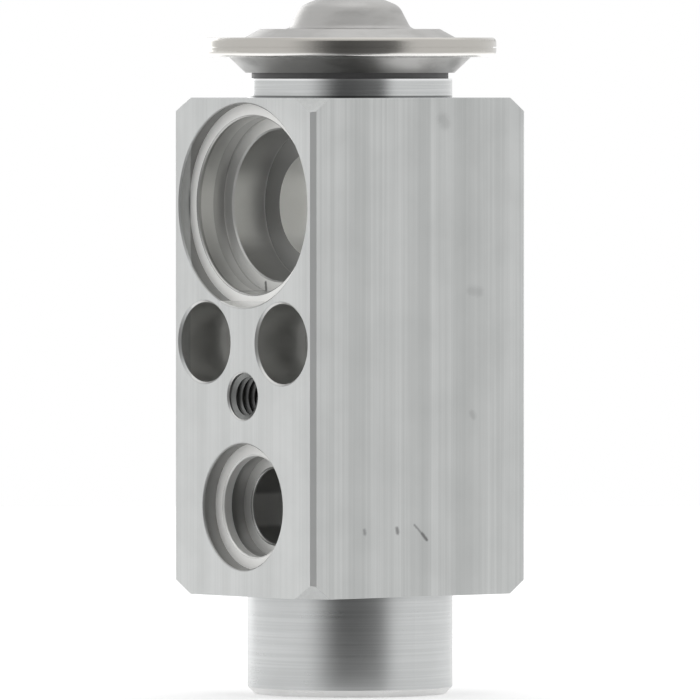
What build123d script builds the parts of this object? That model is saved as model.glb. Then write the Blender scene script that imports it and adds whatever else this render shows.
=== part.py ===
from build123d import *
import math
import os

# Thermostatic expansion valve of the block type. Millimetres, +Z up along the valve's axis.
# The origin is the centre of the stub's lower end, on which the valve stands.

# Block: an extruded bar, faced and turned at both ends.
block_width = 28.8
block_depth = 35.5
block_height = 64.0
edge_chamfer = 0.6
end_face_diameter = 41.4
neck_diameter = 26.4
neck_height = 2.45
stub_diameter = 26.5
stub_length = 12.9
stub_chamfer = 0.9

# Suction ports, one in each face, with the passage that joins them.
suction_drop = 13.8
suction_spotface_diameter = 26.2
suction_spotface_depth = 1.7
suction_gland_diameter = 22.9
suction_gland_depth = 6.2
suction_bore_diameter = 19.5
suction_bore_depth = 11.5
suction_passage_diameter = 13.5
port_chamfer = 0.2

# Liquid ports: the inlet in the front face and the outlet, nearer the head, in the rear face.
inlet_drop = 52.5
outlet_drop = 44.5
liquid_spotface_diameter = 16.2
liquid_spotface_depth = 2.0
liquid_gland_diameter = 13.0
liquid_gland_depth = 5.4
liquid_bore_diameter = 9.8
liquid_bore_depth = 11.2
inlet_passage_diameter = 7.0
outlet_passage_diameter = 6.0

# Two through bolts with sunk heads, and the threaded hole for the pipe clamp.
bolt_drop = 31.45
bolt_spacing = 15.8
bolt_head_diameter = 10.3
bolt_head_depth = 8.1
bolt_head_chamfer = 0.3
bolt_hole_diameter = 6.6
clamp_thread_drop = 38.3
clamp_thread_diameter = 6.0
clamp_thread_depth = 12.0
clamp_thread_chamfer = 0.2
drill_point_angle = 118.0

# Power head: two formed shells welded at the rim, with the diaphragm between them.
head_thread_diameter = 20.0
head_thread_length = 5.0
head_socket_clearance = 0.4
spigot_bore_diameter = 14.0
gasket_diameter = 25.4
gasket_thickness = 0.75
shell_wall = 1.0
shell_foot_diameter = 27.0
shell_shoulder_diameter = 31.2
lower_shell_depth = 2.0
flange_diameter = 37.8
flange_thickness = 1.2
upper_rim_radius = 0.6
lower_rim_radius = 0.9
crown_foot_diameter = 27.2
crown_land_diameter = 23.2
crown_height = 1.1
crown_fillet = 0.5
dome_foot_diameter = 15.8
dome_shoulder_diameter = 12.8
dome_shoulder_height = 2.9
dome_height = 4.5
dome_foot_fillet = 1.0
dome_shoulder_fillet = 2.0
charge_hole_diameter = 2.4
charge_plug_length = 1.6

# Diaphragm and the pad under it.
diaphragm_thickness = 0.15
diaphragm_rim_margin = 0.4
diaphragm_wave_gap = 0.3
diaphragm_wave_height = 0.4
diaphragm_wave_count = 2
pad_diameter = 17.0
pad_thickness = 1.2
pad_boss_diameter = 9.0
pad_boss_length = 3.2
pad_web = 1.0

# Stem: sensing rod, its sleeve, and the push pin down to the ball.
stroke = 0.6
stop_clearance = 0.05
running_clearance = 0.05
rod_diameter = 5.6
rod_guide_length = 4.4
sleeve_wall = 1.1
sleeve_end_gap = 0.5
throat_diameter = 9.4
seal_pocket_diameter = 8.8
seal_pocket_depth = 4.0
seal_clearance = 0.03
retainer_thickness = 0.5
retainer_rod_gap = 0.3
retainer_slot_width = 1.0
retainer_slot_count = 6
pin_diameter = 2.2

# Valve seat, ball and the carrier that the spring lifts.
orifice_diameter = 4.0
orifice_length = 0.6
seat_diameter = 5.8
seat_half_angle = 45.0
seat_clearance = 0.05
ball_diameter = 6.0
chamber_diameter = 12.0
carrier_cup_diameter = 6.6
carrier_cup_height = 2.4
carrier_cup_angle = 45.0
carrier_flange_diameter = 9.4
carrier_flange_thickness = 1.2
carrier_boss_length = 2.0
carrier_spring_clearance = 0.2

# Valve spring and the adjusting screw that closes the stub.
spring_wire_diameter = 1.1
spring_mean_diameter = 8.0
spring_turns = 6.0
section_sides = 12
screw_diameter = 16.0
screw_length = 10.0
screw_recess = 2.0
screw_travel = 1.0
screw_edge_chamfer = 0.5
screw_cup_depth = 5.0
screw_cup_clearance = 0.35
screw_groove_width = 2.2
screw_groove_diameter = 12.6
screw_groove_margin = 1.3
hex_across_flats = 5.0
hex_depth = 3.4

# Heights that follow from the driving dimensions.
block_bottom = stub_length
block_top = block_bottom + block_height
neck_top = block_top + neck_height
suction_height = block_top - suction_drop
inlet_height = block_top - inlet_drop
outlet_height = block_top - outlet_drop
bolt_height = block_top - bolt_drop
clamp_thread_height = block_top - clamp_thread_drop
shell_foot = neck_top + gasket_thickness
flange_bottom = shell_foot + lower_shell_depth
diaphragm_bottom = flange_bottom + flange_thickness
diaphragm_top = diaphragm_bottom + diaphragm_thickness
flange_top = diaphragm_top + flange_thickness
crown_top = flange_top + crown_height
dome_top = crown_top + dome_height
seal_pocket_top = suction_height - suction_passage_diameter / 2
seal_pocket_bottom = seal_pocket_top - seal_pocket_depth
rod_guide_bottom = seal_pocket_bottom - rod_guide_length
seat_edge = outlet_height - outlet_passage_diameter / 2 - orifice_length
seat_slope = math.tan(math.radians(seat_half_angle))
seat_depth = (seat_diameter - orifice_diameter) / 2 / seat_slope
chamber_top = seat_edge - seat_depth
ball_reach = (ball_diameter / 2 + seat_clearance) / math.sin(math.radians(seat_half_angle))
ball_height = chamber_top + seat_diameter / 2 / seat_slope - ball_reach
ball_top = ball_height + ball_diameter / 2
screw_top = screw_recess + screw_length
screw_shoulder = screw_top + screw_travel + stop_clearance
spring_bottom = screw_top - screw_cup_depth
cup_contact_drop = ball_diameter / 2 * math.cos(math.radians(carrier_cup_angle))
carrier_cup_top = ball_height - cup_contact_drop + running_clearance
spring_top = carrier_cup_top - carrier_cup_height - carrier_flange_thickness
pad_bottom = shell_foot + shell_wall + stroke + stop_clearance
pad_top = pad_bottom + pad_thickness
rod_bottom = rod_guide_bottom + stroke + stop_clearance
rod_top = pad_top - pad_web

front_face = Plane(origin=(0, -block_depth / 2, 0), x_dir=(1, 0, 0), z_dir=(0, -1, 0))
rear_face = Plane(origin=(0, block_depth / 2, 0), x_dir=(-1, 0, 0), z_dir=(0, 1, 0))


# Solid of revolution about the valve's axis, from an outline in radius and height.
def turned(outline):
    return revolve(make_face(Plane.XZ * outline), Axis.Z)


# Round bar or ring on the valve's axis between two heights.
def ring(outer, bottom, top, inner=0.0):
    bar = Pos(0, 0, bottom) * extrude(Circle(outer / 2), top - bottom)
    if inner > 0:
        bar -= Pos(0, 0, bottom) * extrude(Circle(inner / 2), top - bottom)
    return bar


# Cutter for a stepped hole, sunk from local Z = 0 downwards, with each step's edge chamfered.
def stepped_hole(steps, chamfer_size):
    cutter = Part()
    mouth = 0.0
    for diameter, depth in steps:
        cutter += extrude(Circle(diameter / 2), -depth)
        lead = Cone(diameter / 2, diameter / 2 + chamfer_size, chamfer_size)
        cutter += Pos(0, 0, mouth - chamfer_size / 2) * lead
        mouth = -depth
    return cutter


# Sets a cutter in one of the port faces, at a place across and a height on it.
def sink(face, cutter, across, height):
    return face * Pos(across, height, 0) * cutter


def suction_port():
    steps = [
        (suction_spotface_diameter, suction_spotface_depth),
        (suction_gland_diameter, suction_gland_depth),
        (suction_bore_diameter, suction_bore_depth),
    ]
    return stepped_hole(steps, port_chamfer)


# Liquid port with its passage on to the valve's axis.
def liquid_port(passage_diameter):
    steps = [
        (liquid_spotface_diameter, liquid_spotface_depth),
        (liquid_gland_diameter, liquid_gland_depth),
        (liquid_bore_diameter, liquid_bore_depth),
    ]
    passage = extrude(Circle(passage_diameter / 2), -block_depth / 2)
    return stepped_hole(steps, port_chamfer) + passage


def bolt_hole():
    shank = extrude(Circle(bolt_hole_diameter / 2), -block_depth)
    return stepped_hole([(bolt_head_diameter, bolt_head_depth)], bolt_head_chamfer) + shank


# Blind threaded hole with the drill's point; the thread itself isn't cut.
def clamp_hole():
    radius = clamp_thread_diameter / 2
    floor = -clamp_thread_depth
    tip = floor - radius / math.tan(math.radians(drill_point_angle / 2))
    point = turned(Polyline((0, floor), (radius, floor), (0, tip), close=True))
    return stepped_hole([(clamp_thread_diameter, clamp_thread_depth)], clamp_thread_chamfer) + point


# Everything that is bored along the valve's axis, from the head's socket to the screw.
def axis_bores():
    socket_bottom = neck_top - head_thread_length - head_socket_clearance
    guide = rod_diameter + 2 * running_clearance
    bores = ring(head_thread_diameter, socket_bottom, neck_top)
    bores += ring(throat_diameter, suction_height, socket_bottom)
    bores += ring(seal_pocket_diameter, seal_pocket_bottom, suction_height)
    bores += ring(guide, rod_guide_bottom, suction_height)
    bores += ring(pin_diameter + 2 * running_clearance, outlet_height, rod_guide_bottom)
    bores += ring(orifice_diameter, chamber_top, outlet_height)
    seat = Cone(seat_diameter / 2, orifice_diameter / 2, seat_depth)
    bores += Pos(0, 0, chamber_top + seat_depth / 2) * seat
    bores += ring(chamber_diameter, 0, chamber_top)
    bores += ring(screw_diameter + 2 * running_clearance, 0, screw_shoulder)
    return bores


# Bar with chamfered long edges, its corners turned off by a 45 degree cone at both ends.
def turned_bar():
    outline = chamfer(Rectangle(block_width, block_depth).vertices(), edge_chamfer)
    bar = Pos(0, 0, block_bottom) * extrude(outline, block_height)
    corner_radius = math.hypot(block_width, block_depth) / 2
    corner_drop = corner_radius - end_face_diameter / 2
    end_radius = end_face_diameter / 2
    lathe_outline = Polyline(
        (0, block_bottom),
        (end_radius, block_bottom),
        (corner_radius, block_bottom + corner_drop),
        (corner_radius, block_top - corner_drop),
        (end_radius, block_top),
        (0, block_top),
        close=True,
    )
    return bar & turned(lathe_outline)


def valve_block():
    block = turned_bar()
    block += ring(neck_diameter, block_top, neck_top)
    stub = ring(stub_diameter, 0, block_bottom)
    block += chamfer(stub.edges().group_by(Axis.Z)[0], stub_chamfer)
    block -= axis_bores()
    block -= sink(front_face, suction_port(), 0, suction_height)
    block -= sink(rear_face, suction_port(), 0, suction_height)
    suction_passage = extrude(Circle(suction_passage_diameter / 2), -block_depth)
    block -= sink(front_face, suction_passage, 0, suction_height)
    block -= sink(front_face, liquid_port(inlet_passage_diameter), 0, inlet_height)
    block -= sink(rear_face, liquid_port(outlet_passage_diameter), 0, outlet_height)
    for side in (-1, 1):
        block -= sink(front_face, bolt_hole(), side * bolt_spacing / 2, bolt_height)
    block -= sink(front_face, clamp_hole(), 0, clamp_thread_height)
    return block


# Flange of one shell, its rim rounded on the side that faces away from the diaphragm.
def flange(inner_level, outer_level, rim_radius):
    radius = flange_diameter / 2
    corners = [(0, inner_level), (radius, inner_level), (radius, outer_level), (0, outer_level)]
    return turned(FilletPolyline(*corners, radius=(0, rim_radius)) + Line(corners[-1], corners[0]))


# Corners of the crown and dome from the flange to the dome's shoulder, inset by a wall.
def dome_corners(inset):
    return [
        (0, diaphragm_top),
        (crown_foot_diameter / 2 - inset, diaphragm_top),
        (crown_foot_diameter / 2 - inset, flange_top - inset / 2),
        (crown_land_diameter / 2 - inset, crown_top - inset),
        (dome_foot_diameter / 2 - inset, crown_top - inset),
        (dome_shoulder_diameter / 2 - inset, crown_top + dome_shoulder_height - inset),
    ]


# Closes the corners with the domed top and turns them, with the shoulder rounded or left sharp.
def dome_solid(wall, corners, inset, shoulder_fillet):
    top = (0, dome_top - inset)
    section = make_face(wall + TangentArc(top, corners[-1], tangent=(1, 0)) + Line(top, corners[0]))
    if shoulder_fillet > 0:
        shoulder = section.vertices().sort_by_distance(corners[-1])[0]
        section = fillet(shoulder, shoulder_fillet)
    return revolve(Plane.XZ * section, Axis.Z)


def dome_outside():
    corners = dome_corners(0)
    wall = FilletPolyline(*corners, radius=(0, 0, crown_fillet, dome_foot_fillet))
    return dome_solid(wall, corners, 0, dome_shoulder_fillet)


def dome_hollow():
    corners = dome_corners(shell_wall)
    return dome_solid(Polyline(*corners), corners, shell_wall, 0)


def charge_hole():
    return ring(charge_hole_diameter, dome_top - shell_wall - charge_plug_length, dome_top)


def head_upper_shell():
    shell = flange(diaphragm_top, flange_top, upper_rim_radius) + dome_outside()
    return shell - dome_hollow() - charge_hole()


# Plug welded into the filling hole, finished to the dome's curve.
def charge_plug():
    return charge_hole() & dome_outside()


def head_lower_shell():
    foot = shell_foot_diameter / 2
    shoulder = shell_shoulder_diameter / 2
    dish = Polyline(
        (0, shell_foot),
        (foot, shell_foot),
        (shoulder, flange_bottom),
        (0, flange_bottom),
        close=True,
    )
    hollow_foot = foot - shell_wall
    hollow_shoulder = shoulder - shell_wall
    hollow = Polyline(
        (0, shell_foot + shell_wall),
        (hollow_foot, shell_foot + shell_wall),
        (hollow_shoulder, diaphragm_bottom),
        (0, diaphragm_bottom),
        close=True,
    )
    spigot_end = neck_top - head_thread_length
    shell = turned(dish) + flange(diaphragm_bottom, flange_bottom, lower_rim_radius)
    shell -= turned(hollow)
    shell += ring(head_thread_diameter - 2 * running_clearance, spigot_end, shell_foot + shell_wall)
    return shell - ring(spigot_bore_diameter, spigot_end, shell_foot + shell_wall)


def head_gasket():
    return ring(gasket_diameter, neck_top, shell_foot, head_thread_diameter)


# Thin disc, clamped flat at its rim, waved in rings, and dished down to the pad.
def diaphragm():
    rim = flange_diameter / 2 - diaphragm_rim_margin
    wave_start = crown_foot_diameter / 2 - shell_wall - diaphragm_wave_gap
    wave_end = pad_diameter / 2
    wave_pitch = (wave_start - wave_end) / (2 * diaphragm_wave_count)
    path = [(rim, diaphragm_bottom), (wave_start, diaphragm_bottom)]
    for step in range(1, 2 * diaphragm_wave_count):
        fall = (diaphragm_bottom - pad_top) * step / (2 * diaphragm_wave_count)
        lift = diaphragm_wave_height if step % 2 else 0.0
        path.append((wave_start - step * wave_pitch, diaphragm_bottom - fall + lift))
    path += [(wave_end, pad_top), (0, pad_top)]
    upper = [(radius, height + diaphragm_thickness) for radius, height in reversed(path)]
    return turned(Polyline(*path, *upper, close=True))


def thrust_pad():
    pad = ring(pad_diameter, pad_bottom, pad_top)
    pad += ring(pad_boss_diameter, pad_bottom - pad_boss_length, pad_bottom)
    return pad - ring(rod_diameter, pad_bottom - pad_boss_length, rod_top)


def sensing_rod():
    return ring(rod_diameter, rod_bottom, rod_top)


# Resin tube on the rod where it crosses the suction gas.
def rod_sleeve():
    bottom = seal_pocket_top + stroke + sleeve_end_gap
    top = pad_bottom - pad_boss_length
    return ring(rod_diameter + 2 * sleeve_wall, bottom, top, rod_diameter)


def push_pin():
    return ring(pin_diameter, ball_top, rod_bottom)


# O-ring between two diameters; its round section has few sides, as the spring's wire has.
def o_ring(inner, outer, bottom):
    radius = (outer - inner) / 4
    section = Pos((outer + inner) / 4, bottom + radius) * RegularPolygon(radius, section_sides)
    return revolve(Plane.XZ * section, Axis.Z)


def rod_seal():
    inner = rod_diameter + 2 * seal_clearance
    outer = seal_pocket_diameter - 2 * seal_clearance
    return o_ring(inner, outer, seal_pocket_bottom)


# Push-in ring with slots that let its rim spring in the pocket.
def seal_retainer():
    seal_section = (seal_pocket_diameter - rod_diameter) / 2
    bottom = seal_pocket_bottom + seal_section
    inner = rod_diameter + 2 * retainer_rod_gap
    retainer = ring(seal_pocket_diameter, bottom, bottom + retainer_thickness, inner)
    slot_end = seal_pocket_diameter / 2
    slot_start = (slot_end + inner / 2) / 2
    slot = Pos((slot_start + slot_end) / 2, 0, bottom + retainer_thickness / 2) * Box(
        slot_end - slot_start, retainer_slot_width, retainer_thickness
    )
    for turn in range(retainer_slot_count):
        retainer -= Rot(0, 0, 360 * turn / retainer_slot_count) * slot
    return retainer


def valve_ball():
    return Pos(0, 0, ball_height) * Sphere(ball_diameter / 2)


# Cup for the ball, a flange for the spring and a boss that centres it.
def ball_carrier():
    flange_top_level = spring_top + carrier_flange_thickness
    boss_diameter = spring_mean_diameter - spring_wire_diameter - 2 * carrier_spring_clearance
    carrier = ring(carrier_cup_diameter, flange_top_level, carrier_cup_top)
    carrier += ring(carrier_flange_diameter, spring_top, flange_top_level)
    carrier += ring(boss_diameter, spring_top - carrier_boss_length, spring_top)
    return carrier - Pos(0, 0, ball_height) * Sphere(ball_diameter / 2 + running_clearance / 2)


# Helical spring, its wire's section drawn with few sides.
def valve_spring():
    height = spring_top - spring_bottom - spring_wire_diameter
    helix = Helix(height / spring_turns, height, spring_mean_diameter / 2)
    start = Plane(helix @ 0, z_dir=helix % 0)
    wire = start * RegularPolygon(spring_wire_diameter / 2, section_sides)
    return Pos(0, 0, spring_bottom + spring_wire_diameter / 2) * sweep(wire, helix, is_frenet=True)


def adjusting_screw():
    screw = ring(screw_diameter, screw_recess, screw_top)
    screw = chamfer(screw.edges().filter_by(GeomType.CIRCLE), screw_edge_chamfer)
    cup_diameter = spring_mean_diameter + spring_wire_diameter + 2 * screw_cup_clearance
    screw -= ring(cup_diameter, spring_bottom, screw_top)
    groove_top = screw_top - screw_groove_margin
    screw -= ring(screw_diameter, groove_top - screw_groove_width, groove_top, screw_groove_diameter)
    hex_key = RegularPolygon(hex_across_flats / 2, 6, major_radius=False)
    return screw - Pos(0, 0, screw_recess) * extrude(hex_key, hex_depth)


def screw_seal():
    inner = screw_groove_diameter + 2 * seal_clearance
    outer = screw_diameter + 2 * running_clearance - 2 * seal_clearance
    groove_bottom = screw_top - screw_groove_margin - screw_groove_width
    section = (outer - inner) / 2
    return o_ring(inner, outer, groove_bottom + (screw_groove_width - section) / 2)


makers = [
    valve_block,
    head_upper_shell,
    head_lower_shell,
    charge_plug,
    head_gasket,
    diaphragm,
    thrust_pad,
    sensing_rod,
    rod_sleeve,
    push_pin,
    rod_seal,
    seal_retainer,
    valve_ball,
    ball_carrier,
    valve_spring,
    adjusting_screw,
    screw_seal,
]

os.makedirs("parts", exist_ok=True)
for maker in makers:
    piece = maker()
    export_step(piece, f"parts/{maker.__name__}.step")
    print(maker.__name__, round(piece.volume, 1))
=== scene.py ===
import math

import bmesh
import bpy
from mathutils import Matrix, Vector


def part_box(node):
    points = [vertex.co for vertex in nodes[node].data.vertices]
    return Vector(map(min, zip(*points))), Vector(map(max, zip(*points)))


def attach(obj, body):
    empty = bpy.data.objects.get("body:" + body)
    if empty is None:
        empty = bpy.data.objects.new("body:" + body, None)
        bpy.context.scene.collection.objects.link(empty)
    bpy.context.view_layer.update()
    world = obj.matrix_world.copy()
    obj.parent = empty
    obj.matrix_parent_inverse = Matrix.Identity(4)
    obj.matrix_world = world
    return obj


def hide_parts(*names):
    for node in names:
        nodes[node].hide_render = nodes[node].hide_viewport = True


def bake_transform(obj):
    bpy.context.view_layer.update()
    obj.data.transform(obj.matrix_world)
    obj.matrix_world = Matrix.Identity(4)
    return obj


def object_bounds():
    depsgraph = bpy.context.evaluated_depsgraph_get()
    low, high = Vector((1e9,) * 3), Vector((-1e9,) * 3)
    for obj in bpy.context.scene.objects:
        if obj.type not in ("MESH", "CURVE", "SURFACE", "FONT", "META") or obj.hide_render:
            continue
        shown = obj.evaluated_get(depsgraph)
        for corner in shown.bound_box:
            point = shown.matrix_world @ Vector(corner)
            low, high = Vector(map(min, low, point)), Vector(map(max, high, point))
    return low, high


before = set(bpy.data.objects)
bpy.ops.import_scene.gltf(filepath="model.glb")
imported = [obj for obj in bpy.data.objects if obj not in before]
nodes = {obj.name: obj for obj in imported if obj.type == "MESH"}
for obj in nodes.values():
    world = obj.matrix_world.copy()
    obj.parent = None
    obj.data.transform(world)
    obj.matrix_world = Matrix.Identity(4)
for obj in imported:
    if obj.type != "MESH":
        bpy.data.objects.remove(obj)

mm = 0.001
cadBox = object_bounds()
print("frame loaded,", len(nodes), "nodes")


# small helpers for node trees

def feed(tree, socket, value):
    # a socket is linked in, anything else is set as a plain value
    if isinstance(value, bpy.types.NodeSocket):
        tree.links.new(value, socket)
    else:
        socket.default_value = value


def add(tree, kind, values=None, **settings):
    made = tree.nodes.new("ShaderNode" + kind)
    for name, setting in settings.items():
        setattr(made, name, setting)
    for name, value in (values or {}).items():
        feed(tree, made.inputs[name], value)
    return made


def calc(tree, operation, *values, clamp=False):
    made = add(tree, "Math", operation=operation, use_clamp=clamp)
    for i, value in enumerate(values):
        feed(tree, made.inputs[i], value)
    return made.outputs[0]


def vectorCalc(tree, operation, values, output="Vector"):
    return add(tree, "VectorMath", values, operation=operation).outputs[output]


def opposite(tree, mask):
    return calc(tree, "SUBTRACT", 1.0, mask)


def awayFrom(tree, value, middle):
    return calc(tree, "ABSOLUTE", calc(tree, "SUBTRACT", value, middle))


def splitUp(tree, place):
    return add(tree, "SeparateXYZ", {0: place}).outputs


def noise(tree, place, settings):
    return add(tree, "TexNoise", {"Vector": place, **settings}).outputs[0]


def blendValue(tree, factor, low, high):
    made = add(tree, "Mix", {0: factor, 2: low, 3: high}, data_type="FLOAT")
    return made.outputs[0]


def blendColour(tree, factor, low, high, blendType="MIX"):
    made = add(tree, "Mix", {0: factor, 6: low, 7: high}, data_type="RGBA", blend_type=blendType)
    return made.outputs[2]


def smooth(tree, value, low, high):
    # a mask from nothing at low to one at high; low may be the greater of the two
    made = add(tree, "MapRange", {0: value, 1: low, 2: high}, interpolation_type="SMOOTHSTEP")
    return made.outputs[0]


def smoothNear(tree, value, edge, margins):
    # the same mask, given by where it starts and is full as seen from an edge
    start, full = margins
    return smooth(tree, value, edge + start, edge + full)


def newGroup(name, inputs, outputs):
    tree = bpy.data.node_groups.new(name, "ShaderNodeTree")
    for label, kind, value in inputs:
        socket = tree.interface.new_socket(label, in_out="INPUT", socket_type="NodeSocket" + kind)
        socket.default_value = value
    for label, kind in outputs:
        tree.interface.new_socket(label, in_out="OUTPUT", socket_type="NodeSocket" + kind)
    groupIn = tree.nodes.new("NodeGroupInput")
    groupOut = tree.nodes.new("NodeGroupOutput")
    return tree, groupIn.outputs, groupOut.inputs


def useGroup(tree, group, values):
    made = tree.nodes.new("ShaderNodeGroup")
    made.node_tree = group
    for name, value in values.items():
        feed(tree, made.inputs[name], value)
    return made.outputs


# shared effects, as node groups; they count in millimetres

effectValues = {
    "coarseStreaks": {"Scale": 0.35, "Detail": 2.0, "Roughness": 0.5},
    "fineStreaks": {"Scale": 2.6, "Detail": 5.0, "Roughness": 0.62},
    "ringNoise": {"Scale": 1.0, "Detail": 3.0, "Roughness": 0.6},
    "ringDrift": 0.35,
    "raggedNoise": {"Scale": 3.0, "Detail": 2.0},
    "raggedLeast": 0.5,
    "scratchCore": 0.15,
    "cloudNoise": {"Scale": 1.0, "Detail": 4.0, "Roughness": 0.55},
    "speckScale": 3.0,
    "speckEdges": (0.08, 0.03),
}


def makeMillimetres():
    # object coordinates in millimetres, moved so that a chosen point is zero
    tree, given, result = newGroup(
        "millimetres",
        [("Centre", "Vector", (0, 0, 0))],
        [("Place", "Vector")])
    coords = add(tree, "TexCoord").outputs["Object"]
    scaled = vectorCalc(tree, "SCALE", {0: coords, "Scale": 1 / mm})
    feed(tree, result["Place"], vectorCalc(tree, "SUBTRACT", {0: scaled, 1: given["Centre"]}))
    return tree


def makeStreaks():
    # drawn or extruded grain: noise pulled out along one axis, coarse bands with fine lines
    tree, given, result = newGroup(
        "streaks",
        [("Place", "Vector", (0, 0, 0)), ("Stretch", "Vector", (1, 1, 0.02)),
         ("Fine", "Float", 0.5)],
        [("Value", "Float")])
    pulled = vectorCalc(tree, "MULTIPLY", {0: given["Place"], 1: given["Stretch"]})
    coarse = noise(tree, pulled, effectValues["coarseStreaks"])
    fine = noise(tree, pulled, effectValues["fineStreaks"])
    feed(tree, result["Value"], blendValue(tree, given["Fine"], coarse, fine))
    return tree


def makeRings():
    # turning marks round Z: noise that depends on radius and height and hardly on the angle
    v = effectValues
    tree, given, result = newGroup(
        "rings",
        [("Place", "Vector", (0, 0, 0)), ("Pitch", "Float", 0.25)],
        [("Value", "Float"), ("Radius", "Float")])
    flat = vectorCalc(tree, "MULTIPLY", {0: given["Place"], 1: (1, 1, 0)})
    radius = vectorCalc(tree, "LENGTH", {0: flat}, output="Value")
    split = splitUp(tree, given["Place"])
    turn = calc(tree, "ARCTAN2", split["Y"], split["X"])
    point = add(tree, "CombineXYZ", {
        0: calc(tree, "DIVIDE", radius, given["Pitch"]),
        1: calc(tree, "DIVIDE", split["Z"], given["Pitch"]),
        2: calc(tree, "MULTIPLY", turn, v["ringDrift"])}).outputs[0]
    feed(tree, result["Value"], noise(tree, point, v["ringNoise"]))
    feed(tree, result["Radius"], radius)
    return tree


def makeScratch():
    # a straight nick between two points of a face, given across and up, with a soft edge
    v = effectValues
    tree, given, result = newGroup(
        "scratch",
        [("Across", "Float", 0), ("Up", "Float", 0), ("Start", "Vector", (0, 0, 0)),
         ("End", "Vector", (1, 0, 0)), ("Width", "Float", 0.3)],
        [("Mask", "Float")])
    point = add(tree, "CombineXYZ", {0: given["Across"], 1: given["Up"]}).outputs[0]
    toPoint = vectorCalc(tree, "SUBTRACT", {0: point, 1: given["Start"]})
    run = vectorCalc(tree, "SUBTRACT", {0: given["End"], 1: given["Start"]})
    along = vectorCalc(tree, "DOT_PRODUCT", {0: toPoint, 1: run}, output="Value")
    runSquared = vectorCalc(tree, "DOT_PRODUCT", {0: run, 1: run}, output="Value")
    share = calc(tree, "DIVIDE", along, runSquared, clamp=True)
    nearest = vectorCalc(tree, "SCALE", {0: run, "Scale": share})
    off = vectorCalc(tree, "DISTANCE", {0: toPoint, 1: nearest}, output="Value")
    ragged = calc(tree, "ADD", noise(tree, point, v["raggedNoise"]), v["raggedLeast"])
    width = calc(tree, "MULTIPLY", given["Width"], ragged)
    core = calc(tree, "MULTIPLY", width, v["scratchCore"])
    feed(tree, result["Mask"], smooth(tree, off, width, core))
    return tree


def makeHandling():
    # light handling wear: soft cloudy patches with a few small specks
    v = effectValues
    tree, given, result = newGroup(
        "handling",
        [("Place", "Vector", (0, 0, 0)), ("Size", "Float", 6.0)],
        [("Clouds", "Float"), ("Specks", "Float")])
    shrink = calc(tree, "DIVIDE", 1.0, given["Size"])
    scaled = vectorCalc(tree, "SCALE", {0: given["Place"], "Scale": shrink})
    cells = add(tree, "TexVoronoi", {"Vector": scaled, "Scale": v["speckScale"]}).outputs
    feed(tree, result["Clouds"], noise(tree, scaled, v["cloudNoise"]))
    feed(tree, result["Specks"], smooth(tree, cells["Distance"], *v["speckEdges"]))
    return tree


millimetres = makeMillimetres()
streaks = makeStreaks()
rings = makeRings()
scratch = makeScratch()
handling = makeHandling()
print("shared effects made")


def newMaterial(name, metallic=1.0):
    material = bpy.data.materials.new(name)
    material.use_nodes = True
    tree = material.node_tree
    shader = tree.nodes["Principled BSDF"]
    shader.inputs["Metallic"].default_value = metallic
    return material, tree, shader.inputs


def addBump(tree, shader, height, strength, distance):
    # the distance is the depth of the grain in millimetres
    bump = add(tree, "Bump", {"Height": height, "Strength": strength, "Distance": distance * mm})
    feed(tree, shader["Normal"], bump.outputs[0])


# block: extruded sides, turned ends, machined ports

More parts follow.
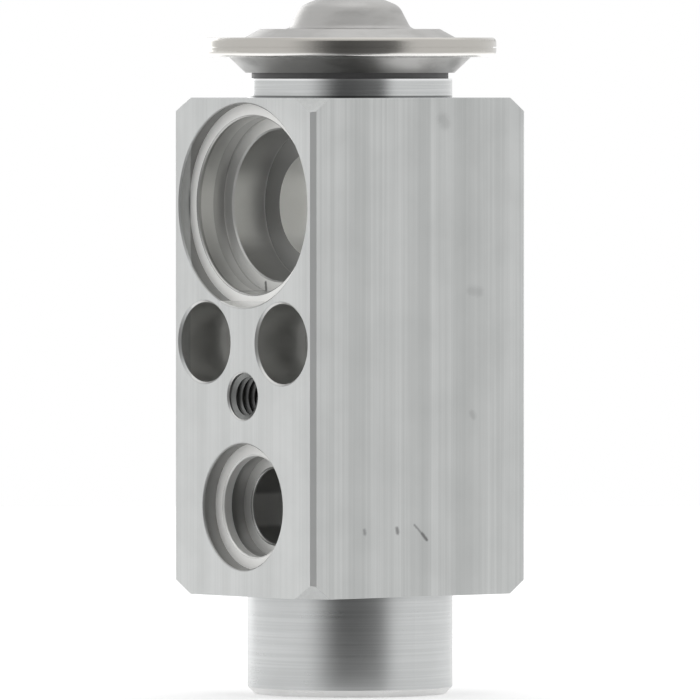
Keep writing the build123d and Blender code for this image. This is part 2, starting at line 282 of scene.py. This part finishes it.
blockValues = {
    # the bar and its turned ends; heights and widths in millimetres
    "halfWidth": 14.4,
    "halfDepth": 17.75,
    "facetRadius": 20.6,
    "lowEnd": 12.9,
    "highEnd": 76.9,
    "neckFoot": 77.15,
    "neckTop": 79.12,
    "chamferTop": 0.9,
    "faceColour": (0.63, 0.64, 0.635, 1),
    "faceStreak": (0.57, 0.58, 0.575, 1),
    "sideColour": (0.585, 0.595, 0.59, 1),
    "sideStreak": (0.5, 0.51, 0.505, 1),
    "darkStreak": (0.4, 0.41, 0.405, 1),
    "cornerColour": (0.69, 0.7, 0.695, 1),
    "turnedColour": (0.58, 0.59, 0.59, 1),
    "turnedLine": (0.52, 0.53, 0.53, 1),
    # painted light on the turned ends: a highlight on the neck's top edge, shade at its foot, a
    # highlight on the stub's chamfer
    "paintedEdgeHighlight": (0.78, 0.79, 0.79, 1),
    "footShade": (0.16, 0.165, 0.165, 1),
    "paintedChamferHighlight": (0.8, 0.8, 0.795, 1),
    "cornerRoughness": 0.62,
    "streakRoughness": (0.34, 0.52),
    "turnedRoughness": (0.13, 0.23),
    "stubRoughness": (0.22, 0.34),
    # where a mask starts and is full, as seen from its edge
    "planeMargins": (-0.12, -0.06),
    "cornerMargins": (-0.7, -0.65),
    "facetMargins": (-0.05, 0.05),
    "lowMargins": (0.06, 0.02),
    "highMargins": (-0.06, -0.02),
    "shoulderMargins": (0.01, 0.04),
    "footMargins": (0.06, 0.0),
    "edgeMargins": (-0.04, 0.04),
    "chamferMargins": (0.02, -0.04),
    "nickMargins": (-0.2, -0.1),
    # grain, turning marks and wear
    "streakStretch": (1, 1, 0.004),
    "fineShare": 0.6,
    "streakEdges": (0.38, 0.62),
    "turningPitch": 0.3,
    "turningEdges": (0.4, 0.65),
    "wearSize": 7.0,
    "cloudEdges": (0.3, 0.75),
    "cloudTone": 0.12,
    "cloudRoughness": 0.05,
    "bump": (0.12, 0.02),
    # broad dark bands of the side face: middle across, half width, strength
    "bands": [(-10.3, 2.4, 0.35), (0.5, 1.5, 0.45), (7.4, 3.2, 0.45)],
    "bandCore": 0.2,
    # nicks and smudges on the side face: start across and up, end across and up, width, strength
    "nicks": [
        ((-9.3, 21.6), (-9.2, 21.2), 0.42, 0.5),
        ((-3.9, 21.7), (-3.8, 21.2), 0.44, 0.7),
        ((-1.0, 22.1), (0.2, 21.0), 0.26, 0.55),
        ((0.2, 21.0), (1.0, 20.2), 0.36, 0.85),
        ((3.6, 74.2), (4.1, 73.6), 1.3, 0.2),
        ((8.3, 52.1), (9.8, 51.9), 1.0, 0.18),
        ((8.5, 36.3), (8.8, 35.9), 0.7, 0.2),
    ],
    # a nick on the floor of the front suction gland, given in the same way
    "glandNick": ((-3.0, 53.1), (-2.9, 52.2), 0.34, 0.9),
    "nickColour": (0.14, 0.14, 0.14, 1),
    "nickDepth": 2.0,
}


def nickMask(tree, across, up, nicks):
    # every nick of a face in one mask
    total = 0.0
    for start, end, width, strength in nicks:
        mask = useGroup(tree, scratch, {
            "Across": across, "Up": up, "Start": (*start, 0), "End": (*end, 0),
            "Width": width})["Mask"]
        total = calc(tree, "MAXIMUM", total, calc(tree, "MULTIPLY", mask, strength))
    return total


def blockNicks(tree, split, bar):
    v = blockValues
    side = nickMask(tree, split["Y"], split["Z"], v["nicks"])
    onSide = smoothNear(tree, split["X"], v["halfWidth"], v["nickMargins"])
    side = calc(tree, "MULTIPLY", side, onSide)
    gland = nickMask(tree, split["X"], split["Z"], [v["glandNick"]])
    inFront = calc(tree, "LESS_THAN", split["Y"], -v["halfWidth"] / 2)
    gland = calc(tree, "MULTIPLY", gland, inFront)
    gland = calc(tree, "MULTIPLY", gland, opposite(tree, bar))
    return calc(tree, "MAXIMUM", side, gland)


def sideBands(tree, across):
    # soft dark bands that run the whole length of the bar
    total = 0.0
    for middle, halfWidth, strength in blockValues["bands"]:
        off = awayFrom(tree, across, middle)
        band = smooth(tree, off, halfWidth, halfWidth * blockValues["bandCore"])
        total = calc(tree, "MAXIMUM", total, calc(tree, "MULTIPLY", band, strength))
    return total


# ports, as seen from the middle of the block outwards
portValues = {
    # start of a step in millimetres, then its tone, its roughness and how metallic it is
    # the first step of each port is its passage, pale and half metallic: painted light falling
    # through it
    "suctionSteps": [
        (0.0, 1.0, 0.3, 0.4), (6.4, 0.88, 0.4, 1.0), (11.7, 0.6, 0.36, 1.0),
        (13.4, 0.86, 0.36, 1.0), (15.4, 0.6, 0.4, 1.0), (15.95, 0.34, 0.45, 0.9)],
    "liquidSteps": [
        (0.0, 0.9, 0.36, 0.5), (6.6, 0.8, 0.42, 1.0), (12.2, 0.34, 0.36, 1.0),
        (14.3, 1.0, 0.5, 0.5), (15.7, 0.37, 0.45, 0.9)],
    # floor tones are partly painted: the deep bore floor dark as painted shade, the spot faces
    # pale and half metallic as painted highlight
    "floorSteps": [(0.0, 0.36, 0.4, 1.0), (9.0, 0.74, 0.42, 0.85), (14.0, 1.0, 0.6, 0.4)],
    "floorFacing": (0.85, 0.97),
    # painted shade: a bore's wall is painted darker above and below a band at its middle: middle,
    # band edge, full shade, strength
    "suctionBand": (-0.5, 3.0, 6.0, 0.34),
    "liquidBand": (-0.6, 1.8, 2.4, 0.45),
    "bandReach": 11.9,
    # bolt and clamp holes: top of their zone, its foot in front and at the rear, and their finish
    "boltZone": (50.8, 34.0, 41.5),
    # the holes' one tone is partly painted shade
    "boltFinish": (0.7, 0.36, 1, 1),
    "heights": {"suction": 63.1, "inlet": 24.4, "outlet": 32.4},
    "highPorts": 47.8,
    "colour": (1.0, 1.0, 0.98, 1),
    "pitch": 0.35,
    "markMiddle": 0.5,
    "markRoughness": 0.06,
}


def stepsOutward(tree, outward, steps):
    # three values that change in steps with the distance from the middle of the block
    reach = blockValues["halfDepth"]
    ramp = add(tree, "ValToRGB", {0: calc(tree, "DIVIDE", outward, reach)})
    ramp.color_ramp.interpolation = "CONSTANT"
    elements = ramp.color_ramp.elements
    while len(elements) < len(steps):
        elements.new(0.5)
    for element, (start, *values) in zip(elements, steps):
        element.position = start / reach
        element.color = (*values, 1)
    return ramp.outputs[0]


def isHighPort(tree, split):
    return calc(tree, "GREATER_THAN", split["Z"], portValues["highPorts"])


def isRear(tree, split):
    return calc(tree, "GREATER_THAN", split["Y"], 0.0)


def portPlace(tree, split):
    # the place seen along the nearest port's axis: across, up from that axis, and depth
    heights = portValues["heights"]
    low = blendValue(tree, isRear(tree, split), heights["inlet"], heights["outlet"])
    axis = blendValue(tree, isHighPort(tree, split), low, heights["suction"])
    up = calc(tree, "SUBTRACT", split["Z"], axis)
    return add(tree, "CombineXYZ", {0: split["X"], 1: up, 2: split["Y"]}).outputs[0]


def paintedBoreShade(tree, split, outward, up):
    # how much painted shade darkens a bore's wall above and below its middle band
    v = portValues
    shades = []
    for middle, edge, full, strength in (v["liquidBand"], v["suctionBand"]):
        off = awayFrom(tree, up, middle)
        shades.append(calc(tree, "MULTIPLY", smooth(tree, off, edge, full), strength))
    shade = blendValue(tree, isHighPort(tree, split), *shades)
    return calc(tree, "MULTIPLY", shade, calc(tree, "LESS_THAN", outward, v["bandReach"]))


def portFinish(tree, split, outward, up):
    # tone, roughness and metal as red, green and blue: milled floors are bright and drilled walls
    # are dull, partly from their finish and partly as painted highlight and painted shade, while
    # the bolt and clamp holes keep one tone, partly painted shade
    v = portValues
    liquid = stepsOutward(tree, outward, v["liquidSteps"])
    suction = stepsOutward(tree, outward, v["suctionSteps"])
    walls = blendColour(tree, isHighPort(tree, split), liquid, suction)
    withoutTone = blendColour(tree, 1.0, walls, (0, 1, 1, 1), blendType="MULTIPLY")
    # painted shade on the bore walls above and below their middle band
    walls = blendColour(tree, paintedBoreShade(tree, split, outward, up), walls, withoutTone)
    normal = splitUp(tree, add(tree, "NewGeometry").outputs["Normal"])
    onFloor = smooth(tree, calc(tree, "ABSOLUTE", normal["Y"]), *v["floorFacing"])
    finish = blendColour(tree, onFloor, walls, stepsOutward(tree, outward, v["floorSteps"]))
    zoneTop, frontFoot, rearFoot = v["boltZone"]
    zoneFoot = blendValue(tree, isRear(tree, split), frontFoot, rearFoot)
    inBolts = calc(tree, "MULTIPLY", calc(tree, "GREATER_THAN", split["Z"], zoneFoot),
                   calc(tree, "LESS_THAN", split["Z"], zoneTop))
    finish = blendColour(tree, inBolts, finish, v["boltFinish"])
    return add(tree, "SeparateColor", {0: finish}).outputs


def blockZones(tree, split, absX, absY, radius):
    # masks of the block's kinds of surface; what none of them covers is a port or a hole
    v = blockValues
    onSide = smoothNear(tree, absX, v["halfWidth"], v["planeMargins"])
    onFace = smoothNear(tree, absY, v["halfDepth"], v["planeMargins"])
    corner = v["halfWidth"] + v["halfDepth"]
    onCorner = smoothNear(tree, calc(tree, "ADD", absX, absY), corner, v["cornerMargins"])
    onFacet = smoothNear(tree, radius, v["facetRadius"], v["facetMargins"])
    bar = calc(tree, "MAXIMUM", calc(tree, "MAXIMUM", onSide, onFace),
               calc(tree, "MAXIMUM", onCorner, onFacet))
    below = smoothNear(tree, split["Z"], v["lowEnd"], v["lowMargins"])
    above = smoothNear(tree, split["Z"], v["highEnd"], v["highMargins"])
    turned = calc(tree, "MAXIMUM", below, above)
    bar = calc(tree, "MULTIPLY", bar, opposite(tree, turned))
    return {"side": onSide, "corner": onCorner, "bar": bar, "below": below, "turned": turned}


def barTone(tree, zones, drawn, across):
    # faint streaks all round, dark bands on the sides, pale cut corners
    v = blockValues
    streak = smooth(tree, drawn, *v["streakEdges"])
    side = blendColour(tree, streak, v["sideStreak"], v["sideColour"])
    side = blendColour(tree, sideBands(tree, across), side, v["darkStreak"])
    face = blendColour(tree, streak, v["faceStreak"], v["faceColour"])
    flat = blendColour(tree, zones["side"], face, side)
    return blendColour(tree, zones["corner"], flat, v["cornerColour"])


def turnedTone(tree, marks, height):
    # neck and stub: turning lines, painted shade at the neck's foot, a painted highlight on its
    # top edge and on the stub's chamfer
    v = blockValues
    line = smooth(tree, marks, *v["turningEdges"])
    tone = blendColour(tree, line, v["turnedLine"], v["turnedColour"])
    atFoot = calc(tree, "MULTIPLY", smoothNear(tree, height, v["neckFoot"], v["footMargins"]),
                  smoothNear(tree, height, v["highEnd"], v["shoulderMargins"]))
    # painted shade at the neck's foot
    tone = blendColour(tree, atFoot, tone, v["footShade"])
    atTop = smoothNear(tree, height, v["neckTop"], v["edgeMargins"])
    # painted highlight on the neck's top edge
    tone = blendColour(tree, atTop, tone, v["paintedEdgeHighlight"])
    atChamfer = smoothNear(tree, height, v["chamferTop"], v["chamferMargins"])
    # painted highlight on the stub's chamfer
    return blendColour(tree, atChamfer, tone, v["paintedChamferHighlight"])


def blockAluminium():
    v = blockValues
    material, tree, shader = newMaterial("blockAluminium")
    place = useGroup(tree, millimetres, {})["Place"]
    split = splitUp(tree, place)
    absX = calc(tree, "ABSOLUTE", split["X"])
    absY = calc(tree, "ABSOLUTE", split["Y"])
    turning = useGroup(tree, rings, {"Place": place, "Pitch": v["turningPitch"]})
    marks = turning["Value"]
    zones = blockZones(tree, split, absX, absY, turning["Radius"])
    drawn = useGroup(tree, streaks, {
        "Place": place, "Stretch": v["streakStretch"], "Fine": v["fineShare"]})["Value"]
    alongPort = portPlace(tree, split)
    portMarks = useGroup(tree, rings, {"Place": alongPort, "Pitch": portValues["pitch"]})["Value"]
    port = portFinish(tree, split, absY, splitUp(tree, alongPort)["Y"])
    worn = useGroup(tree, handling, {"Place": place, "Size": v["wearSize"]})
    cloud = smooth(tree, worn["Clouds"], *v["cloudEdges"])
    nicks = blockNicks(tree, split, zones["bar"])

    portTone = blendColour(tree, port["Red"], (0, 0, 0, 1), portValues["colour"])
    tone = blendColour(tree, zones["bar"], portTone, barTone(tree, zones, drawn, split["Y"]))
    tone = blendColour(tree, zones["turned"], tone, turnedTone(tree, marks, split["Z"]))
    tone = blendColour(tree, calc(tree, "MULTIPLY", cloud, v["cloudTone"]), tone, v["darkStreak"])
    feed(tree, shader["Base Color"], blendColour(tree, nicks, tone, v["nickColour"]))

    barRough = blendValue(tree, drawn, *v["streakRoughness"])
    barRough = blendValue(tree, zones["corner"], barRough, v["cornerRoughness"])
    turnedRough = blendValue(tree, zones["below"], blendValue(tree, marks, *v["turnedRoughness"]),
                             blendValue(tree, marks, *v["stubRoughness"]))
    markRough = calc(tree, "SUBTRACT", portMarks, portValues["markMiddle"])
    markRough = calc(tree, "MULTIPLY", markRough, portValues["markRoughness"])
    portRough = calc(tree, "ADD", port["Green"], markRough)
    rough = blendValue(tree, zones["bar"], portRough, barRough)
    rough = blendValue(tree, zones["turned"], rough, turnedRough)
    cloudRough = calc(tree, "MULTIPLY", cloud, v["cloudRoughness"])
    feed(tree, shader["Roughness"], calc(tree, "ADD", rough, cloudRough))
    outside = calc(tree, "MAXIMUM", zones["bar"], zones["turned"])
    feed(tree, shader["Metallic"], blendValue(tree, outside, port["Blue"], 1.0))

    barGrain = calc(tree, "MULTIPLY", zones["bar"], drawn)
    grain = blendValue(tree, zones["turned"], barGrain, marks)
    height = calc(tree, "SUBTRACT", grain, calc(tree, "MULTIPLY", nicks, v["nickDepth"]))
    addBump(tree, shader, height, *v["bump"])
    return material


# power head: formed stainless shells with a welded rim

headValues = {
    "colour": (0.43, 0.425, 0.416, 1),
    "darkPatch": (0.35, 0.345, 0.335, 1),
    "patchStrength": 0.65,
    "patchEdges": (0.42, 0.7),
    # painted light: the lower shell is a lighter tone than the upper
    "paintedLightFootColour": (0.58, 0.575, 0.565, 1),
    "footHeight": 82.1,
    "weldTint": (0.48, 0.465, 0.435, 1),
    "weldStart": 17.7,
    "weldFull": 18.3,
    # painted highlight on the rim's lower lip
    "paintedLipHighlight": (0.88, 0.865, 0.84, 1),
    "lipHeight": 82.75,
    "lipMargins": (0.0, -0.25),
    "roughness": (0.34, 0.46),
    "weldRoughness": (0.16, 0.26),
    "speckRoughness": 0.1,
    "formingPitch": 0.45,
    "smearStretch": (1, 1, 3),
    "wearSize": 5.0,
    "ripple": {"Scale": 1.1, "Detail": 2.0},
    "bump": (0.3, 0.03),
}


def headSteel():
    v = headValues
    material, tree, shader = newMaterial("headSteel")
    place = useGroup(tree, millimetres, {})["Place"]
    forming = useGroup(tree, rings, {"Place": place, "Pitch": v["formingPitch"]})
    smeared = vectorCalc(tree, "MULTIPLY", {0: place, 1: v["smearStretch"]})
    worn = useGroup(tree, handling, {"Place": smeared, "Size": v["wearSize"]})
    onWeld = smooth(tree, forming["Radius"], v["weldStart"], v["weldFull"])
    height = splitUp(tree, place)["Z"]
    atFoot = calc(tree, "LESS_THAN", height, v["footHeight"])
    # painted light: the lower shell lighter than the upper
    plain = blendColour(tree, atFoot, v["colour"], v["paintedLightFootColour"])
    patch = smooth(tree, worn["Clouds"], *v["patchEdges"])
    patch = calc(tree, "MULTIPLY", patch, v["patchStrength"])
    tone = blendColour(tree, patch, plain, v["darkPatch"])
    onLip = smoothNear(tree, height, v["lipHeight"], v["lipMargins"])
    # the weld keeps its heat tint, with a painted highlight on its lower lip
    weldTintAndLipHighlight = blendColour(tree, onLip, v["weldTint"], v["paintedLipHighlight"])
    feed(tree, shader["Base Color"], blendColour(tree, onWeld, tone, weldTintAndLipHighlight))
    rough = blendValue(tree, onWeld, blendValue(tree, forming["Value"], *v["roughness"]),
                       blendValue(tree, forming["Value"], *v["weldRoughness"]))
    speckRough = calc(tree, "MULTIPLY", worn["Specks"], v["speckRoughness"])
    feed(tree, shader["Roughness"], calc(tree, "ADD", rough, speckRough))
    ripple = noise(tree, place, v["ripple"])
    addBump(tree, shader, blendValue(tree, onWeld, forming["Value"], ripple), *v["bump"])
    return material


# rubber and resin: one recipe, two tones in soft clouds

softValues = {
    "gasketRubber": {
        "colour": (0.1, 0.1, 0.101, 1), "cloud": (0.18, 0.18, 0.18, 1),
        "roughness": (0.45, 0.7), "wearSize": 1.5, "bump": (0.3, 0.02)},
    "sleeveResin": {
        "colour": (0.92, 0.92, 0.89, 1), "cloud": (0.95, 0.95, 0.92, 1),
        "roughness": (0.4, 0.55), "wearSize": 2.0, "bump": (0.2, 0.01)},
}


def rubberOrResin(name):
    v = softValues[name]
    material, tree, shader = newMaterial(name, metallic=0.0)
    place = useGroup(tree, millimetres, {})["Place"]
    clouds = useGroup(tree, handling, {"Place": place, "Size": v["wearSize"]})["Clouds"]
    feed(tree, shader["Base Color"], blendColour(tree, clouds, v["colour"], v["cloud"]))
    feed(tree, shader["Roughness"], blendValue(tree, clouds, *v["roughness"]))
    addBump(tree, shader, clouds, *v["bump"])
    return material


# inner metal pieces: one recipe, turned round the valve's axis

innerValues = {
    "rodAluminium": {
        "colour": (0.78, 0.79, 0.80, 1), "deep": (0.6, 0.61, 0.62, 1),
        "roughness": (0.2, 0.4), "pitch": 0.3},
    "padBrass": {
        "colour": (0.72, 0.52, 0.24, 1), "deep": (0.5, 0.34, 0.13, 1),
        "roughness": (0.2, 0.38), "pitch": 0.3},
    "screwBrass": {
        "colour": (0.74, 0.55, 0.26, 1), "deep": (0.5, 0.35, 0.14, 1),
        "roughness": (0.22, 0.42), "pitch": 0.25},
    "pinSteel": {
        "colour": (0.58, 0.58, 0.59, 1), "deep": (0.42, 0.42, 0.43, 1),
        "roughness": (0.1, 0.25), "pitch": 0.2},
    "springSteel": {
        "colour": (0.45, 0.45, 0.46, 1), "deep": (0.28, 0.28, 0.29, 1),
        "roughness": (0.25, 0.45), "pitch": 0.15},
}
innerWear = {"size": 3.0, "edges": (0.35, 0.7), "bump": (0.3, 0.02)}


def innerMetal(name):
    v = innerValues[name]
    material, tree, shader = newMaterial(name)
    place = useGroup(tree, millimetres, {})["Place"]
    marks = useGroup(tree, rings, {"Place": place, "Pitch": v["pitch"]})["Value"]
    worn = useGroup(tree, handling, {"Place": place, "Size": innerWear["size"]})
    inPatch = smooth(tree, worn["Clouds"], *innerWear["edges"])
    feed(tree, shader["Base Color"], blendColour(tree, inPatch, v["colour"], v["deep"]))
    feed(tree, shader["Roughness"], blendValue(tree, marks, *v["roughness"]))
    addBump(tree, shader, marks, *innerWear["bump"])
    return material


finishes = [
    (blockAluminium(), ["valve_block"]),
    (rubberOrResin("sleeveResin"), ["rod_sleeve"]),
    (headSteel(), ["head_upper_shell", "head_lower_shell", "charge_plug", "diaphragm"]),
    (rubberOrResin("gasketRubber"), ["head_gasket", "rod_seal", "screw_seal"]),
    (innerMetal("rodAluminium"), ["sensing_rod"]),
    (innerMetal("padBrass"), ["thrust_pad"]),
    (innerMetal("screwBrass"), ["adjusting_screw"]),
    (innerMetal("pinSteel"), ["push_pin", "seal_retainer", "valve_ball", "ball_carrier"]),
    (innerMetal("springSteel"), ["valve_spring"]),
]
for finish, finishedNodes in finishes:
    for node in finishedNodes:
        nodes[node].data.materials.clear()
        nodes[node].data.materials.append(finish)
print("finishes set")


def newObject(name, data):
    made = bpy.data.objects.new(name, data)
    bpy.context.collection.objects.link(made)
    return made


def newPiece(name, bm, material):
    # a finished shape becomes an object with its material
    mesh = bpy.data.meshes.new(name)
    bm.to_mesh(mesh)
    bm.free()
    mesh.materials.append(material)
    return newObject(name, mesh)


# thread of the clamp hole: a triangular ridge wound down the hole

clampThread = {
    "holeRadius": 3.0,
    "coreRadius": 2.46,
    "intoWall": 0.01,
    "pitch": 1.0,
    "rootShare": 0.92,
    "crestShare": 0.14,
    "height": 38.6,
    "firstTurn": 0.02,
    "turns": 11,
    "stepsPerTurn": 40,
    "colour": (0.28, 0.285, 0.28, 1),
    "shade": (0.2, 0.205, 0.2, 1),
    # painted shade deeper in the hole, from where it starts to where it is full
    "paintedDeepShade": (0.2, 0.201, 0.2, 1),
    "paintedDeepShadeFrom": 0.9,
    "paintedDeepShadeFull": 3.6,
    "roughness": (0.3, 0.5),
    "wearSize": 0.8,
    "bump": (0.2, 0.01),
}


def threadAluminium():
    v = clampThread
    material, tree, shader = newMaterial("threadAluminium")
    place = useGroup(tree, millimetres, {"Centre": (0, 0, v["height"])})["Place"]
    clouds = useGroup(tree, handling, {"Place": place, "Size": v["wearSize"]})["Clouds"]
    # the thread darkens with depth into the hole: painted shade
    depth = calc(tree, "ADD", splitUp(tree, place)["Y"], blockValues["halfDepth"])
    inPaintedDeepShade = smooth(tree, depth, v["paintedDeepShadeFrom"], v["paintedDeepShadeFull"])
    tone = blendColour(tree, clouds, v["colour"], v["shade"])
    feed(tree, shader["Base Color"], blendColour(tree, inPaintedDeepShade, tone, v["paintedDeepShade"]))
    feed(tree, shader["Roughness"], blendValue(tree, clouds, *v["roughness"]))
    addBump(tree, shader, clouds, *v["bump"])
    return material


def makeClampThread():
    v = clampThread
    root = v["holeRadius"] + v["intoWall"]
    core = v["coreRadius"]
    halfRoot = v["pitch"] * v["rootShare"] / 2
    halfCrest = v["pitch"] * v["crestShare"] / 2
    bm = bmesh.new()
    outline = [(root, -halfRoot), (core, -halfCrest), (core, halfCrest), (root, halfRoot)]
    corners = [bm.verts.new((radius, along, 0)) for radius, along in outline]
    for i, corner in enumerate(corners):
        bm.edges.new((corner, corners[(i + 1) % len(corners)]))
    rise = Vector((0, v["pitch"] / v["stepsPerTurn"], 0))
    bmesh.ops.spin(
        bm, geom=list(bm.edges), cent=(0, 0, 0), axis=(0, 1, 0), dvec=rise,
        angle=2 * math.pi * v["turns"], steps=v["turns"] * v["stepsPerTurn"], use_merge=False)
    bmesh.ops.holes_fill(bm, edges=[e for e in bm.edges if e.is_boundary], sides=len(corners))
    bmesh.ops.recalc_face_normals(bm, faces=bm.faces)
    start = -blockValues["halfDepth"] + v["firstTurn"] + halfRoot
    intoHole = Matrix.Scale(mm, 4) @ Matrix.Translation((0, start, v["height"]))
    bmesh.ops.transform(bm, matrix=intoHole, verts=bm.verts)
    turns = newPiece("clampThreadTurns", bm, threadAluminium())
    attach(turns, "valve_body")


makeClampThread()
print("clamp thread made")


# copies of the spring and the diaphragm stand in for them; the spring's copy is cut into two
# halves at its middle

springFoot, springTop = (corner[2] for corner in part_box("valve_spring"))
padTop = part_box("thrust_pad")[1][2]
bendingValues = {
    "mergeDistance": 1e-6,
    "springMiddle": (springFoot + springTop) / 2,
    "diaphragmRim": 83.3 * mm,
}


def makeBendingCopy(name, node, start, end):
    # the spring is cut at its middle, where both halves stand still
    middle = bendingValues["springMiddle"]
    bm = bmesh.new()
    bm.from_mesh(nodes[node].data)
    bmesh.ops.remove_doubles(bm, verts=bm.verts, dist=bendingValues["mergeDistance"])
    if middle in (start, end):
        bmesh.ops.bisect_plane(
            bm, geom=bm.verts[:] + bm.edges[:] + bm.faces[:], plane_co=(0, 0, middle),
            plane_no=(0, 0, 1), clear_outer=end == middle, clear_inner=start == middle)
        bmesh.ops.holes_fill(bm, edges=[e for e in bm.edges if e.is_boundary])
        bmesh.ops.triangulate(bm, faces=bm.faces)
        bmesh.ops.recalc_face_normals(bm, faces=bm.faces)
    piece = newPiece(name, bm, nodes[node].data.materials[0])
    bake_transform(piece)
    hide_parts(node)


makeBendingCopy(
    "springLowerCoils", "valve_spring",
    springFoot, bendingValues["springMiddle"])
makeBendingCopy(
    "springUpperCoils", "valve_spring",
    bendingValues["springMiddle"], springTop)
makeBendingCopy(
    "flexingDiaphragm", "diaphragm",
    bendingValues["diaphragmRim"], padTop)


# floor, world, lamps and camera

cameraValues = {
    "azimuth": 51.0,
    "distance": 1716.0,
    "height": 84.0,
    "aimHeight": 44.3,
    "fieldAtAxis": 90.38,
    "sensor": 36.0,
    "clipEnd": 20,
}


def fromAround(azimuth, elevation, distance):
    # azimuths are in degrees from -Y towards +X
    az, el = math.radians(azimuth), math.radians(elevation)
    level = math.cos(el)
    return Vector((math.sin(az) * level, -math.cos(az) * level, math.sin(el))) * distance


floorValues = {
    "colour": (0.85, 0.85, 0.85, 1),
    "radius": 0.36,
    "behind": 0.33,
    "drop": 0.00005,
    "sides": 96,
    "lift": 0.3,
}


def floorPaper():
    v = floorValues
    material, tree, shader = newMaterial("floorPaper", metallic=0.0)
    shader["Base Color"].default_value = v["colour"]
    shader["Roughness"].default_value = 1.0
    shader["Specular IOR Level"].default_value = 0.0
    shader["Emission Color"].default_value = (1, 1, 1, 1)
    # lifted towards white for the eye, mirrors and glass, while it lights no other surface
    path = add(tree, "LightPath").outputs
    seen = calc(tree, "MAXIMUM", path["Is Camera Ray"], path["Is Glossy Ray"])
    seen = calc(tree, "MAXIMUM", seen, path["Is Transmission Ray"])
    feed(tree, shader["Emission Strength"], calc(tree, "MULTIPLY", seen, v["lift"]))
    # from below it is clear, so that the underside of the valve can be seen
    surface = add(tree, "MixShader", {
        0: add(tree, "NewGeometry").outputs["Backfacing"],
        1: tree.nodes["Principled BSDF"].outputs[0],
        2: add(tree, "BsdfTransparent").outputs[0]})
    feed(tree, tree.nodes["Material Output"].inputs["Surface"], surface.outputs[0])
    return material


def makeFloor():
    v = floorValues
    bm = bmesh.new()
    bmesh.ops.create_circle(bm, cap_ends=True, segments=v["sides"], radius=v["radius"])
    floor = newPiece("floor", bm, floorPaper())
    floor.location = fromAround(cameraValues["azimuth"], 0, -v["behind"])
    floor.location.z = -v["drop"]


# a white room with a dark side, which the polished metal shows as its dark bands
worldValues = {
    "white": (1.0, 1.0, 1.0, 1),
    "darkest": (0.12, 0.12, 0.12, 1),
    "dim": (0.2, 0.2, 0.2, 1),
    "darkLeft": (-2.0, 40.0),
    "darkRight": (84.0, 104.0),
    "dimStart": 45.0,
    "darkTop": (0.5, 0.8),
}


def makeWorld():
    v = worldValues
    world = bpy.data.worlds.new("studio")
    bpy.context.scene.world = world
    world.use_nodes = True
    tree = world.node_tree
    shade = tree.nodes["Background"].inputs
    direction = splitUp(tree, add(tree, "TexCoord").outputs["Generated"])
    turn = calc(tree, "ARCTAN2", direction["X"], calc(tree, "MULTIPLY", direction["Y"], -1.0))
    azimuth = calc(tree, "DEGREES", turn)
    beforeRight = opposite(tree, smooth(tree, azimuth, *v["darkRight"]))
    inDark = calc(tree, "MULTIPLY", smooth(tree, azimuth, *v["darkLeft"]), beforeRight)
    belowTop = opposite(tree, smooth(tree, direction["Z"], *v["darkTop"]))
    inDark = calc(tree, "MULTIPLY", inDark, belowTop)
    dimming = smooth(tree, azimuth, v["dimStart"], v["darkRight"][0])
    dark = blendColour(tree, dimming, v["darkest"], v["dim"])
    room = blendColour(tree, inDark, v["white"], dark)
    seen = add(tree, "LightPath").outputs["Is Camera Ray"]
    feed(tree, shade["Color"], blendColour(tree, seen, room, v["white"]))
    shade["Strength"].default_value = 1.0


lampValues = {
    "edgeSoftbox": {
        "azimuth": -104.0, "elevation": 10.0, "distance": 0.9, "size": 0.5, "power": 1.3},
    "topSoftbox": {
        "azimuth": 200.0, "elevation": 65.0, "distance": 0.9, "size": 0.8, "power": 0.7},
}


def aim(thing, target):
    thing.rotation_euler = (target - thing.location).to_track_quat("-Z", "Y").to_euler()


def makeLamps():
    middle = (cadBox[0] + cadBox[1]) / 2
    for name, v in lampValues.items():
        lamp = bpy.data.lights.new(name, "AREA")
        lamp.size = v["size"]
        lamp.energy = v["power"]
        holder = newObject(name, lamp)
        holder.location = middle + fromAround(v["azimuth"], v["elevation"], v["distance"])
        aim(holder, middle)


def makeCamera():
    v = cameraValues
    camera = bpy.data.cameras.new("camera")
    camera.sensor_width = v["sensor"]
    camera.lens = v["sensor"] * v["distance"] / v["fieldAtAxis"]
    camera.clip_end = v["clipEnd"]
    holder = newObject("camera", camera)
    holder.location = fromAround(v["azimuth"], 0, v["distance"] * mm)
    holder.location.z = v["height"] * mm
    aim(holder, Vector((0, 0, v["aimHeight"] * mm)))
    bpy.context.scene.camera = holder


makeFloor()
makeWorld()
makeLamps()
makeCamera()
bpy.context.scene.view_settings.view_transform = "Standard"
print("stage made")
